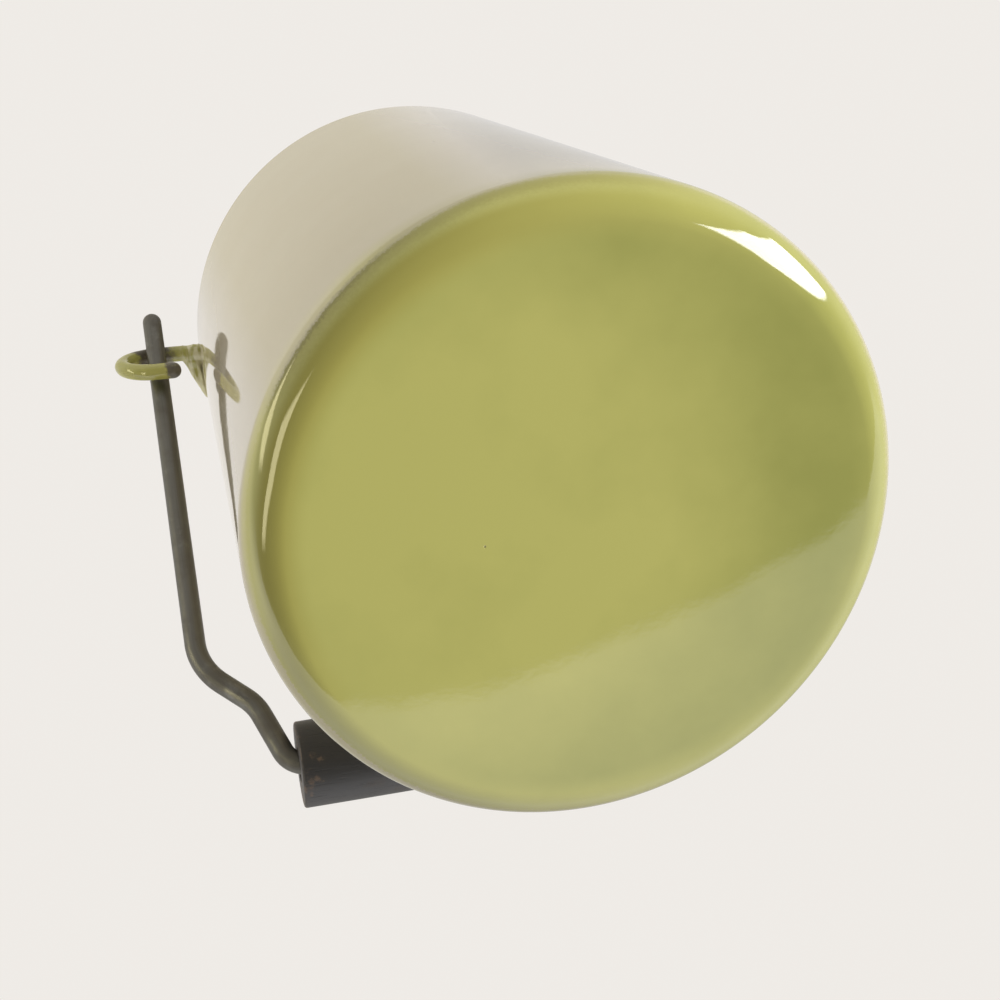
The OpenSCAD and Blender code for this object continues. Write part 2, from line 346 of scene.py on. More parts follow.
def glaze(finish, where, colour, roughness=None):
    """A fired glassy surface over a colour: a slow ripple, a fine skin, a few pits and uneven gloss."""
    pits = specks(finish, where, 90, 0.035, 0.3)
    film = finish.cloud(where, 55, 3.0, 0.6)
    rippled = finish.bump(finish.cloud(where, 38, 1.0), 0.16 * MM, 0.6)
    skinned = finish.bump(finish.cloud(where, 620, 2.0), 0.010 * MM, 0.5, rippled)
    finish.set(
        Base_Color=finish.mix(pits * 0.6, colour, CHIP),
        Roughness=0.018 + film * 0.04 if roughness is None else roughness,
        Normal=finish.bump(1 - pits, 0.12 * MM, 0.7, skinned),
        IOR=ENAMEL_IOR,
    )
    return finish.material


def cream_over(finish, where):
    """Cream enamel, a little warmer and a little cooler in places."""
    return finish.mix(finish.cloud(where, 30, 3.0), CREAM, CREAM_WARM)


def green_over(finish, where, thick=0.35):
    """Green enamel, mottled as sprayed colour is, and deeper where the coat is thick."""
    mottled = (finish.cloud(where, 38, 4.0, 0.55) - 0.5) * 0.9
    return finish.mix(mottled + thick, GREEN, GREEN_DEEP)


def sprayed(finish, where, lumps, waver, spread):
    """How far a sprayed edge strays: a slow waver in lumps to the metre, and the spray's fine dots."""
    slow = (finish.cloud(where, lumps, 2.0) - 0.5) * waver
    return slow + (finish.cloud(where, 1500, 2.0, 0.7) - 0.5) * spread


def coat_edge(finish, where):
    """A place's height, shifted so that the green coat's edge strays, and comes lower on the right."""
    across, along, height = finish.coordinates(where)
    right_side = finish.fade(across - along * 0.35, 30 * MM, 62 * MM)
    strayed = height + sprayed(finish, where, 24, 2 * MM, 1.6 * MM)
    return strayed + along * 0.03 + right_side * (1.6 * MM)


def upper_left(finish, where):
    """1 at the left of the base towards its -Y side, and 0 elsewhere."""
    across, along, _ = finish.coordinates(where)
    return finish.fall(across, -45 * MM, -22 * MM) * finish.fall(along, -34 * MM, -22 * MM)


def coat_cover(finish, where, edge):
    """How much green lies over the cream: a solid coat, and a drifting mist past its edge."""
    across, along, _ = finish.coordinates(where)
    coat_end = finish.fade(across, -40 * MM, -15 * MM, 3.7 * MM, 5.5 * MM)
    drift = finish.fade(finish.cloud(where, 17, 2.0), 0.35, 0.65, 0.2, 0.55)
    dense = finish.fade(along, -58 * MM, -40 * MM, 1.8, 0.5) + upper_left(finish, where) * 0.72
    mist = finish.fall(edge, MIST_START, MIST_END) * drift * dense
    return finish.most(finish.fall(edge, COAT_SOLID, coat_end), mist)


def coat_colour(finish, where, edge):
    """The coat's green: thin in one place, darker round the left corner as painted shade, darker at the upper
    edge as a painted dark reflection, and ridged there.
    """
    across, along, height = finish.coordinates(where)
    flat = finish.vector("MULTIPLY", where, (1, 1, 0))
    ring = BODY_R - BASE_CORNER_R
    rounded = finish.fade(finish.vector("LENGTH", flat), ring - 4 * MM, ring + 2 * MM)
    inner = finish.fade(finish.vector("DISTANCE", flat, THIN_SPOT), 25 * MM, 76 * MM)
    thick = inner * (1 - rounded * finish.fade(across, 0, 45 * MM, 0.75, 0.33))
    left_side = finish.fall(across, -45 * MM, 40 * MM) * finish.fade(along, 0, 38 * MM, 1.0, 0.15)
    # Painted shade: the foot of the rounded corner on the left is darkened where shade falls
    corner_shade = rounded * left_side * finish.fall(height, 1.2 * MM, 2.8 * MM)
    corner_shaded = finish.mix(corner_shade, green_over(finish, where, thick), GREEN_CORNER_SHADE)
    upper_side = finish.fade(along, -40 * MM, -10 * MM, 0.6, 0.0) * finish.fall(across, 0, 30 * MM)
    # Painted dark reflection: the coat's edge on the -Y side is darkened
    dark_reflected = finish.mix(finish.fade(edge, -0.4 * MM, 2.4 * MM) * upper_side, corner_shaded, GREEN_DARK_REFLECTION)
    corner = upper_left(finish, where)
    ridged = finish.mix(finish.fade(edge, 2.0 * MM, 2.8 * MM) * corner * 0.6, dark_reflected, GREEN_RIDGE)
    return finish.mix(finish.fade(edge, 3.0 * MM, 4.2 * MM) * corner * 0.9, ridged, GREEN_LIGHT)


def left_corner(finish, where):
    """How far the coat is lighter on the base's rounded corner at the left."""
    across, along, height = finish.coordinates(where)
    rise = height + along * 0.08
    on_corner = finish.fade(rise, 1.2 * MM, 2.4 * MM) * finish.fall(rise, 3.2 * MM, 5.6 * MM)
    middle = finish.fade(along, -36 * MM, -24 * MM) * finish.fall(along, 2 * MM, 24 * MM)
    return on_corner * middle * finish.fade(across, -52 * MM, -36 * MM, 0.75, 0.0)


def shaded_enamel():
    """Cream enamel with green sprayed over the base and fading out round its corner."""
    finish = Finish("shaded_enamel")
    where = finish.place()
    edge = coat_edge(finish, where)
    cover = coat_cover(finish, where, edge)
    coated = finish.mix(cover, cream_over(finish, where), coat_colour(finish, where, edge))
    return glaze(finish, where, finish.mix(left_corner(finish, where), coated, GREEN_LIGHT))


def necked_enamel():
    """Cream enamel with green sprayed over the mouth's bead and fading out down the neck."""
    finish = Finish("necked_enamel")
    where = finish.place()
    _, _, height = finish.coordinates(where)
    strayed = height + sprayed(finish, where, 22, 5 * MM, 3 * MM)
    tint = finish.fade(strayed, BEAD.y - 13 * MM, BEAD.y - 2 * MM)
    return glaze(finish, where, finish.mix(tint, cream_over(finish, where), green_over(finish, where)))


def lining_enamel():
    """The cream lining inside the can and under the lid."""
    finish = Finish("lining_enamel")
    where = finish.place()
    return glaze(finish, where, cream_over(finish, where))


def green_enamel():
    """Plain green enamel on the lid."""
    finish = Finish("green_enamel")
    where = finish.place()
    return glaze(finish, where, green_over(finish, where))


def ear_enamel():
    """Green enamel on an ear, rubbed through to brown metal where the hook rides and at the wire's end, and
    paler in streaks towards the root: thin enamel, partly a painted highlight.
    """
    finish = Finish("ear_enamel")
    where = finish.place()
    rub = finish.cloud(where, 420, 3.0, 0.65)
    either_side = finish.vector("ABSOLUTE", where)
    out, _, _ = finish.coordinates(either_side)
    wire_end = Vector((EYE_X - EYE_TAIL, 0, PIVOT.z - 2 * EYE_R))
    hook_seat = Vector((EYE_X + 3 * MM, 0, PIVOT.z))

    def near(point, reach, along=1.0):
        """1 about a point, for a reach that is longer along the bar."""
        shift = finish.vector("SUBTRACT", either_side, point)
        away = finish.vector("LENGTH", finish.stretch(shift, (1 / along, 1, 1)))
        return finish.fall(away + (rub - 0.5) * (3 * MM), reach * 0.7, reach)

    bare = finish.most(near(wire_end, 3.2 * MM), near(hook_seat, 4.6 * MM, 2.2))
    worn = finish.mix(rub, WORN_LIGHT, WORN_DARK)
    streaks = finish.fade(finish.cloud(finish.stretch(where, (700, 170, 330)), 1.0, 2.0), 0.32, 0.5)
    # Paler streaks towards the root: thin enamel, partly a painted highlight
    thin = finish.fade(out, BODY_R + 3 * MM, BODY_R + FOOT_OUT, 0.9, 0.0) * streaks
    green = finish.mix(thin, green_over(finish, where, 0.3), GREEN_THIN_AND_SHEEN)
    return glaze(finish, where, finish.mix(bare, green, worn), 0.06 + bare * 0.36)


def wire_steel():
    """Darkened drawn steel: fine lines along the wire, brown stains and rubbed places."""
    finish = Finish("wire_steel")
    run = finish.node("Attribute", {"attribute_name": "run"}).beside("Vector")
    where = finish.place()
    lines = finish.cloud(finish.stretch(run, (60, 2600, 2600)), 1.0, 3.0, 0.6)
    stain = finish.fade(finish.cloud(where, 130, 4.0, 0.6), 0.45, 0.72)
    rubbed = finish.fade(finish.cloud(where, 75, 5.0, 0.65), 0.56, 0.74)
    base = finish.mix(lines, WIRE_DARK, WIRE_LIGHT)
    stained = finish.mix(stain * 0.4, base, WIRE_STAIN)
    lines_bump = finish.bump(lines, 0.03 * MM, 0.5)
    pitted = finish.bump(finish.cloud(where, 900, 3.0, 0.7), 0.05 * MM, 0.45, lines_bump)
    finish.set(
        Base_Color=finish.mix(rubbed * 0.55, stained, WIRE_RUBBED),
        Metallic=0.9 - stain * 0.45,
        Roughness=0.42 + stain * 0.22 - rubbed * 0.1,
        Normal=pitted,
    )
    return finish.material


def bright_steel():
    """Plain turned steel for the washer, the screw and the mouth's wire, with a little tarnish."""
    finish = Finish("bright_steel")
    where = finish.place()
    rings = finish.cloud(finish.stretch(where, (1800, 1800, 240)), 1.0, 2.0)
    tarnish = finish.fade(finish.cloud(where, 210, 4.0, 0.6), 0.42, 0.7)
    finish.set(
        Base_Color=finish.mix(tarnish, STEEL_BRIGHT, STEEL_TARNISH),
        Metallic=1.0 - tarnish * 0.3,
        Roughness=0.26 + tarnish * 0.24,
        Normal=finish.bump(rings, 0.02 * MM, 0.4),
    )
    return finish.material


# The axis that a piece of wood's grain runs along, and a distance past every piece, for ends that aren't worn
ALONG_X = 0
ALONG_Z = 2
NO_WORN_END = 1.0


def dark_wood(name, grain, centre, end=NO_WORN_END):
    """Dark stained wood, with its grain along an axis through a centre.

    It is worn brown at its ends, which are that far from the centre.
    """
    finish = Finish(name)
    where = finish.vector("SUBTRACT", finish.place(), centre)

    def grained(lengthwise, crosswise):
        """The place, scaled along the grain and across it."""
        return finish.stretch(where, [lengthwise if axis == grain else crosswise for axis in range(3)])

    fibre = finish.cloud(grained(55, 900), 1.0, 4.0, 0.6)
    pores = finish.fade(finish.cloud(grained(140, 2600), 1.0, 2.0), 0.58, 0.7)
    wear = finish.fade(finish.cloud(where, 160, 4.0, 0.65), 0.5, 0.75)
    nicks = specks(finish, grained(0.4, 1), 330, 0.16, 0.05) * finish.fade(fibre, 0.4, 0.55)
    from_centre = finish.coordinates(finish.vector("ABSOLUTE", where))[grain]
    rubbed = finish.fade(from_centre + wear * (14 * MM), end - 2 * MM, end + 5 * MM)
    pointed = finish.node("NewGeometry").beside("Pointiness")
    rim = finish.most(finish.fade(pointed, 0.52, 0.62), rubbed)
    stain = finish.mix(fibre, WOOD_DARK, WOOD_LIGHT)
    browned = finish.mix(wear * 0.4, stain, WOOD_WORN)
    edged = finish.mix(rim * 0.6, browned, WOOD_RIM)
    nicked = finish.mix(nicks * 0.5, edged, WOOD_NICK)
    ribbed = finish.bump(fibre, 0.06 * MM, 0.5)
    finish.set(
        Base_Color=finish.mix(pores * 0.35, nicked, WOOD_PORE),
        Roughness=0.4 + fibre * 0.16 + wear * 0.1,
        Normal=finish.bump(1 - pores, 0.09 * MM, 0.55, ribbed),
    )
    return finish.material


def arc(centre, radius, start, end, steps=ROUND_STEPS):
    """Points of an arc in a turned profile, with angles in degrees."""
    turns = [math.radians(start + (end - start) * i / steps) for i in range(steps + 1)]
    return [Vector((centre[0] + radius * math.cos(a), centre[1] + radius * math.sin(a))) for a in turns]


def straight(start, end, steps):
    """Points between two profile points, without the ends."""
    return [Vector(start).lerp(Vector(end), i / steps) for i in range(1, steps)]


def turned(profile, closed=False, steps=TURN_STEPS):
    """Points and faces of a profile of (radius, height) turned about Z. A point on the axis is a pole."""
    points = []
    rings = []
    for radius, height in profile:
        first = len(points)
        if radius < POLE_R:
            points.append((0, 0, height))
            rings.append([first] * steps)
            continue
        for j in range(steps):
            angle = math.tau * j / steps
            points.append((radius * math.cos(angle), radius * math.sin(angle), height))
        rings.append(list(range(first, first + steps)))
    pairs = list(zip(rings, rings[1:]))
    if closed:
        pairs.append((rings[-1], rings[0]))
    faces = []
    bands = []
    for band, (low, high) in enumerate(pairs):
        for j in range(steps):
            k = (j + 1) % steps
            corners = [low[j], low[k], high[k], high[j]]
            faces.append([c for i, c in enumerate(corners) if c != corners[i - 1]])
            bands.append(band)
    return points, faces, bands


def bent(corners, radii, step=WIRE_STEP):
    """Points along a wire through corners, with each inner corner rounded to its bend radius."""
    path = [corners[0]]

    def run_to(end):
        start = path[-1]
        count = max(1, round((end - start).length / step))
        path.extend(start.lerp(end, i / count) for i in range(1, count + 1))

    for before, corner, after, radius in zip(corners, corners[1:], corners[2:], radii):
        into = (corner - before).normalized()
        out = (after - corner).normalized()
        turn = into.angle(out)
        start = corner - into * (radius * math.tan(turn / 2))
        side = (out - into * into.dot(out)).normalized()
        centre = start + side * radius
        run_to(start)
        count = max(LEAST_BEND_STEPS, round(turn * radius / step))
        for i in range(1, count + 1):
            angle = turn * i / count
            path.append(centre - side * (radius * math.cos(angle)) + into * (radius * math.sin(angle)))
    run_to(corners[-1])
    return path


def tube_faces(rows, sides, first=0):
    """Faces between rows of points that are rings of that many sides, from the first point on."""
    faces = []
    for i in range(rows - 1):
        for j in range(sides):
            k = (j + 1) % sides
            at = first + i * sides
            faces.append([at + j, at + k, at + sides + k, at + sides + j])
    return faces


def stations_along(path, radius):
    """A wire's stations, its round ends included: centre, direction, distance along the wire and radius."""
    stations = []
    along = 0.0
    for i, point in enumerate(path):
        if i:
            along += (point - path[i - 1]).length
        ahead = path[min(i + 1, len(path) - 1)]
        behind = path[max(i - 1, 0)]
        stations.append((point, (ahead - behind).normalized(), along, radius))
    first = stations[0]
    last = stations[-1]
    for i in range(1, CAP_STEPS):
        angle = math.pi / 2 * i / CAP_STEPS
        out = radius * math.sin(angle)
        thin = radius * math.cos(angle)
        stations.insert(0, (first[0] - first[1] * out, first[1], first[2] - out, thin))
        stations.append((last[0] + last[1] * out, last[1], last[2] + out, thin))
    return stations


def drawn(path, radius, sides=WIRE_SIDES):
    """Skin of a round wire along a path: points, faces and each point's place on the straight wire."""
    stations = stations_along(path, radius)
    side = stations[0][1].orthogonal().normalized()
    points = []
    runs = []
    for centre, forward, at, thick in stations:
        side = (side - forward * side.dot(forward)).normalized()
        cross = forward.cross(side)
        for j in range(sides):
            angle = math.tau * j / sides
            spot = Vector((at * DENTS_PER_METRE, math.cos(angle), math.sin(angle)))
            dented = min(1.0, 1 + WIRE_DENT * noise.noise(spot))
            points.append(centre + (side * math.cos(angle) + cross * math.sin(angle)) * thick * dented)
            runs.append((at, math.cos(angle) * radius, math.sin(angle) * radius))
    faces = tube_faces(len(stations), sides)
    first = stations[CAP_STEPS - 1]
    last = stations[-CAP_STEPS]
    tip = len(points)
    points += [first[0] - first[1] * radius, last[0] + last[1] * radius]
    runs += [(first[2] - radius, 0, 0), (last[2] + radius, 0, 0)]
    end = (len(stations) - 1) * sides
    for j in range(sides):
        k = (j + 1) % sides
        faces.append([k, j, tip])
        faces.append([end + j, end + k, tip + 1])
    return points, faces, runs


def add(name, data):
    """A new object in the scene."""
    made = bpy.data.objects.new(name, data)
    bpy.context.scene.collection.objects.link(made)
    return made


def mesh_of(name, points, faces, materials):
    """A mesh from points and faces, in some materials."""
    mesh = bpy.data.meshes.new(name)
    mesh.from_pydata([tuple(point) for point in points], [], faces)
    for material in materials:
        mesh.materials.append(material)
    return mesh


def shape(name, points, faces, materials, bands=None, inside_from=None):
    """A piece with smooth faces, outward normals and sharp edges. Bands from inside_from on are inside."""
    mesh = mesh_of(name, points, faces, materials)
    if inside_from is not None:
        mesh.polygons.foreach_set("material_index", [int(band >= inside_from) for band in bands])
    work = bmesh.new()
    work.from_mesh(mesh)
    bmesh.ops.recalc_face_normals(work, faces=work.faces)
    work.to_mesh(mesh)
    work.free()
    mesh.polygons.foreach_set("use_smooth", [True] * len(mesh.polygons))
    mesh.set_sharp_from_angle(angle=SHARP_EDGE)
    return add(name, mesh)


def fit(piece, body, node):
    """Puts a piece in a node's place, on its body."""
    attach(piece, body)
    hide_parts(node)
    return piece


def applied(piece):
    """Replaces a piece's mesh by what its modifiers make of it."""
    bpy.context.view_layer.update()
    made = bpy.data.meshes.new_from_object(piece.evaluated_get(bpy.context.evaluated_depsgraph_get()))
    made.name = piece.name
    piece.modifiers.clear()
    piece.data = made
    made.polygons.foreach_set("use_smooth", [True] * len(made.polygons))
    return piece


def can_body(outside, inside):
    """The drawn body: flat base, rounded corner, straight wall, and its lining."""
    corner = (BODY_R - BASE_CORNER_R, BASE_CORNER_R)
    base_out = (corner[0], 0)
    top = (BODY_R, WALL_H)
    top_in = (BODY_R - SHEET, WALL_H)
    outer = [Vector((0, 0))] + straight((0, 0), base_out, BASE_STEPS)
    outer += arc(corner, BASE_CORNER_R, -90, 0, CORNER_STEPS)
    outer += straight((BODY_R, BASE_CORNER_R), top, WALL_STEPS) + [Vector(top)]
    inner = [Vector(top_in)] + straight(top_in, (BODY_R - SHEET, BASE_CORNER_R), WALL_STEPS)
    inner += arc(corner, BASE_CORNER_R - SHEET, 0, -90)
    inner += straight((corner[0], SHEET), (0, SHEET), BASE_STEPS) + [Vector((0, SHEET))]
    points, faces, bands = turned(outer + inner)
    piece = shape("can_body", points, faces, [outside, inside], bands, len(outer) - 1)
    return fit(piece, "can", "body_shell")


def can_shoulder(outside):
    """Shoulder, neck and the mouth's edge, curled outwards round its wire."""
    wall_top = (BODY_R - SHOULDER_ROUND_R, WALL_H)
    slope = math.degrees(SHOULDER_SLOPE)
    round_end = arc(wall_top, SHOULDER_ROUND_R, 90 - slope, 90 - slope, 1)[0]
    hollow_x = NECK_R + NECK_ROOT_R
    run = round_end.x - (hollow_x - NECK_ROOT_R * math.sin(SHOULDER_SLOPE))
    neck_foot = round_end.y + run * math.tan(SHOULDER_SLOPE) + NECK_ROOT_R * math.cos(SHOULDER_SLOPE)
    hollow = (hollow_x, neck_foot)
    # The curl's outside stops half a sheet short of the neck
    curl_end = -math.degrees(math.acos((SHEET * 1.5 - CURL_OUT_R) / CURL_OUT_R))
    profile = arc(wall_top, SHOULDER_ROUND_R, 0, 90 - slope)
    profile += arc(hollow, NECK_ROOT_R, 270 - slope, 180)
    profile += arc(BEAD, CURL_IN_R, 180, curl_end, CURL_STEPS)
    profile += arc(BEAD, CURL_OUT_R, curl_end, 180, CURL_STEPS)
    profile += arc(hollow, NECK_ROOT_R + SHEET, 180, 270 - slope)
    profile += arc(wall_top, SHOULDER_ROUND_R - SHEET, 90 - slope, 0)
    points, faces, _ = turned(profile, closed=True)
    return fit(shape("can_shoulder", points, faces, [outside]), "can", "shoulder")


def mouth_wire(steel):
    """The wire ring inside the mouth's curled edge."""
    section = arc(BEAD, RIM_WIRE_R, 0, 360 - 360 / RIM_SIDES, RIM_SIDES - 1)
    points, faces, _ = turned(section, closed=True)
    return fit(shape("mouth_wire", points, faces, [steel]), "can", "rim_wire")


def ear_foot(first):
    """The foot along the wall, at the eye's bar: its points, and its faces from the first point on."""
    tip_x = math.sqrt(BODY_R ** 2 - FOOT_SPREAD ** 2) + FOOT_TIP
    points = []
    for i in range(FOOT_ROWS):
        share = i / (FOOT_ROWS - 1)
        y = FOOT_SPREAD * share
        wall = math.sqrt(BODY_R ** 2 - y ** 2) - SHEET / 2
        out = (BODY_R + FOOT_OUT) * (1 - share) + tip_x * share
        middle = (wall + out) / 2
        half_x = (out - wall) / 2
        half_z = FOOT_T / 2 * (1 - FOOT_TAPER * share)
        for j in range(FOOT_SIDES):
            angle = math.tau * j / FOOT_SIDES
            points.append(Vector((middle + half_x * math.cos(angle), y, half_z * math.sin(angle))))
    faces = tube_faces(FOOT_ROWS, FOOT_SIDES, first)
    for row in (0, FOOT_ROWS - 1):
        at = first + row * FOOT_SIDES
        faces.append(list(range(at, at + FOOT_SIDES)))
    return points, faces


def lumpy(piece):
    """Raises an ear's enamel in small lumps, and in ridges where it ran at the root."""
    skin = [(vertex.co.copy(), vertex.normal.copy()) for vertex in piece.data.vertices]
    raised = []
    for place, normal in skin:
        near_root = max(0.0, 1 - abs(abs(place.x) - BODY_R) / FOOT_OUT)
        spot = Vector([at * count for at, count in zip(place, EAR_RIDGES_PER_METRE)])
        ridges = EAR_RIDGE_CREST - abs(noise.noise(spot)) * EAR_RIDGE_FALL
        lump = noise.noise(place * EAR_LUMPS_PER_METRE) * EAR_LUMP + ridges * near_root * EAR_RIDGE
        raised.extend(place + normal * min(lump, EAR_RIDGE_MOST))
    piece.data.vertices.foreach_set("co", raised)
    piece.data.update()


def ear(name, node, side, enamel):
    """A wire eye with its foot on the wall, coated in one lumpy skin of enamel."""
    low = -2 * EYE_R
    corners = [
        Vector((BODY_R - SHEET / 2, 0, 0)), Vector((EYE_X + EYE_R, 0, 0)),
        Vector((EYE_X + EYE_R, 0, low)), Vector((EYE_X - EYE_TAIL, 0, low)),
    ]
    points, faces, _ = drawn(bent(corners, [EYE_R, EYE_R], EYE_STEP), EAR_WIRE_R)
    foot_points, foot_faces = ear_foot(len(points))
    placed = [Vector((side * p.x, p.y, p.z + PIVOT.z)) for p in points + foot_points]
    piece = shape(name, placed, faces + foot_faces, [enamel])
    skin = piece.modifiers.new("skin", "REMESH")
    skin.mode = "VOXEL"
    skin.voxel_size = SKIN_STEP
    soft = piece.modifiers.new("soft", "SMOOTH")
    soft.factor = SKIN_SOFTENING
    soft.iterations = SKIN_PASSES
    applied(piece)
    lumpy(piece)
    return fit(piece, "can", node)


reach = GRIP_AXIS - PIVOT
BAIL_LEN = math.sqrt(reach.length ** 2 - HOOK_R ** 2)
REST_DROP = -math.atan2(reach.z, reach.y) - math.atan2(HOOK_R, BAIL_LEN)
LEG = Vector((0, math.cos(REST_DROP), -math.sin(REST_DROP)))
INWARD = Vector((0, -math.sin(REST_DROP), -math.cos(REST_DROP)))


def on_bail(x, down, inward):
    """A point of the bail: across the can, down the leg from the ear's bar, and towards the wall."""
    return PIVOT + AXIS_X * x + LEG * down + INWARD * inward


def bail(steel):
    """The bail: a hook, a leg with a knee and an S-bend, the rod through the grip, and the same again."""
    entry_x = GRIP_LEN / 2 - BEND_INSIDE + ENTRY_R * math.tan((math.pi / 2 - ANKLE_LEAN) / 2)
    ankle_x = entry_x + ANKLE_LEN * math.sin(ANKLE_LEAN)
    ankle_down = BAIL_LEN - ANKLE_LEN * math.cos(ANKLE_LEAN)
    hook_top = -HOOK_OVERRUN - HOOK_R
    half = [
        (EYE_X, HOOK_RETURN, -HOOK_R), (EYE_X, hook_top, -HOOK_R), (EYE_X, hook_top, HOOK_R),
        (EYE_X - KNEE_IN, BAIL_LEN - KNEE_BACK, HOOK_R), (ankle_x, ankle_down, HOOK_R),
        (entry_x, BAIL_LEN, HOOK_R),
    ]
    radii = [HOOK_R, HOOK_R, KNEE_R, ANKLE_R, ENTRY_R]
    corners = [on_bail(-x, down, inward) for x, down, inward in half]
    corners += [on_bail(x, down, inward) for x, down, inward in reversed(half)]
    points, faces, runs = drawn(bent(corners, radii + radii[::-1]), BAIL_WIRE_R)
    piece = shape("bail", points, faces, [steel])
    attribute = piece.data.attributes.new("run", "FLOAT_VECTOR", "POINT")
    attribute.data.foreach_set("vector", [number for run in runs for number in run])
    return fit(piece, "bail", "bail_wire")


def lying(points):
    """Points turned about Z, laid along X on the grip's axis."""
    return [GRIP_AXIS + Vector((z, x, y)) for x, y, z in points]


def wood_grip(wood):
    """The turned grip: a slight barrel with rounded end edges, bored for the bail."""
    half = GRIP_LEN / 2
    edge_x = half - GRIP_EDGE_R
    bore = BAIL_WIRE_R + BORE_GAP
    bend_in = ENTRY_R - BAIL_WIRE_R
    mouth = ENTRY_R - math.sqrt(bend_in ** 2 - BEND_INSIDE ** 2) + MOUTH_GAP
    mouth_x = half - BEND_INSIDE - MOUTH_GAP

    def barrel(x):
        return GRIP_R - (GRIP_R - GRIP_END_R) * (x / half) ** 2

    edge = barrel(edge_x) - GRIP_EDGE_R
    profile = arc((edge, -edge_x), GRIP_EDGE_R, -90, 0)
    for i in range(1, BARREL_STEPS):
        x = edge_x * (2 * i / BARREL_STEPS - 1)
        profile.append(Vector((barrel(x), x)))
    profile += arc((edge, edge_x), GRIP_EDGE_R, 0, 90)
    profile += [Vector((mouth, half)), Vector((bore, mouth_x))]
    profile += [Vector((bore, -mouth_x)), Vector((mouth, -half))]
    points, faces, _ = turned(profile, closed=True, steps=SMALL_TURN_STEPS)
    return fit(shape("wood_grip", lying(points), faces, [wood]), "grip", "grip")


FLANGE_TOP = collar_high.z + SHEET
COLLAR_IN = collar_high.x - COLLAR_T
DOME_R = COLLAR_IN - FLANGE_IN
DOME_BALL_R = (DOME_R ** 2 + DOME_H ** 2) / (2 * DOME_H)


def dome_height(radius):
    """Height of the lid's outside above its flange."""
    return math.sqrt(DOME_BALL_R ** 2 - radius ** 2) - (DOME_BALL_R - DOME_H)


def lid_dome(outside, inside):
    """The pressed lid: a seat for the knob, a dome, a flange and a rounded lip."""
    lip_in = cap_high.x - SHEET
    corner = (cap_high.x - LIP_ROUND_R, FLANGE_TOP - LIP_ROUND_R)
    radii = [SEAT_R + (DOME_R - SEAT_R) * i / DOME_STEPS for i in range(DOME_STEPS + 1)]
    dome = [Vector((radius, FLANGE_TOP + dome_height(radius))) for radius in radii]
    outer = [Vector((SCREW_HOLE_R, cap_high.z))] + dome + arc(corner, LIP_ROUND_R, 90, 0)
    outer += [Vector((cap_high.x, cap_low.z))]
    inner = [Vector((lip_in, cap_low.z))] + arc(corner, LIP_ROUND_R - SHEET, 0, 90)
    inner += [point - Vector((0, SHEET)) for point in reversed(dome)]
    inner += [Vector((SCREW_HOLE_R, cap_high.z - SHEET))]
    points, faces, bands = turned(outer + inner, closed=True)
    piece = shape("lid_dome", points, faces, [outside, inside], bands, len(outer) - 1)
    return fit(piece, "lid", "lid_cap")


def lid_sleeve(enamel):
    """The collar that holds the lid in the mouth, with a rounded lower edge."""
    low = collar_low.z
    middle = collar_high.x - COLLAR_T / 2
    profile = arc((middle, low + COLLAR_T / 2), COLLAR_T / 2, 180, 360, COLLAR_EDGE_STEPS)
    profile += [Vector((collar_high.x, collar_high.z)), Vector((COLLAR_IN, collar_high.z))]
    points, faces, _ = turned(profile, closed=True)
    return fit(shape("lid_sleeve", points, faces, [enamel]), "lid", "lid_collar")


def wood_knob(wood):
    """The turned knob: a foot, a waist and a rounded head, bored for its screw."""
    foot = knob_low.z
    head_r = knob_high.x
    head_z = knob_high.z - KNOB_HEAD_H
    waist_z = (foot + head_z) / 2
    bore_z = screw_high.z + SHANK_GAP
    bore = SCREW_R + SHANK_GAP
    edge = KNOB_FOOT_EDGE
    shares = [i / KNOB_STEPS for i in range(1, KNOB_STEPS + 1)]
    profile = [Vector((0, bore_z)), Vector((bore, bore_z)), Vector((bore, foot))]
    profile += [Vector((KNOB_FOOT_R - edge.x, foot)), Vector((KNOB_FOOT_R, foot + edge.y))]
    for share in shares[1:]:
        radius = KNOB_WAIST_R + (KNOB_FOOT_R - KNOB_WAIST_R) * (1 + math.cos(math.pi * share)) / 2
        profile.append(Vector((radius, foot + (waist_z - foot) * share)))
    for share in shares:
        angle = math.pi / 2 * share
        radius = KNOB_WAIST_R + (head_r - KNOB_WAIST_R) * (1 - math.cos(angle))
        profile.append(Vector((radius, waist_z + (head_z - waist_z) * math.sin(angle))))
    for share in shares:
        angle = math.pi / 2 * share
        profile.append(Vector((max(0.0, head_r * math.cos(angle)), head_z + KNOB_HEAD_H * math.sin(angle))))
    points, faces, _ = turned(profile, steps=SMALL_TURN_STEPS)
    return fit(shape("wood_knob", points, faces, [wood]), "lid", "lid_knob")


def steel_washer(steel):
    """The washer under the knob, with rounded outer edges."""
    edge = WASHER_EDGE_R
    out = washer_high.x - edge
    profile = [Vector((SCREW_HOLE_R, washer_low.z))]
    profile += arc((out, washer_low.z + edge), edge, -90, 0, WASHER_EDGE_STEPS)
    profile += arc((out, washer_high.z - edge), edge, 0, 90, WASHER_EDGE_STEPS)
    profile += [Vector((SCREW_HOLE_R, washer_high.z))]
    points, faces, _ = turned(profile, closed=True, steps=SMALL_TURN_STEPS)
    return fit(shape("steel_washer", points, faces, [steel]), "lid", "knob_washer")


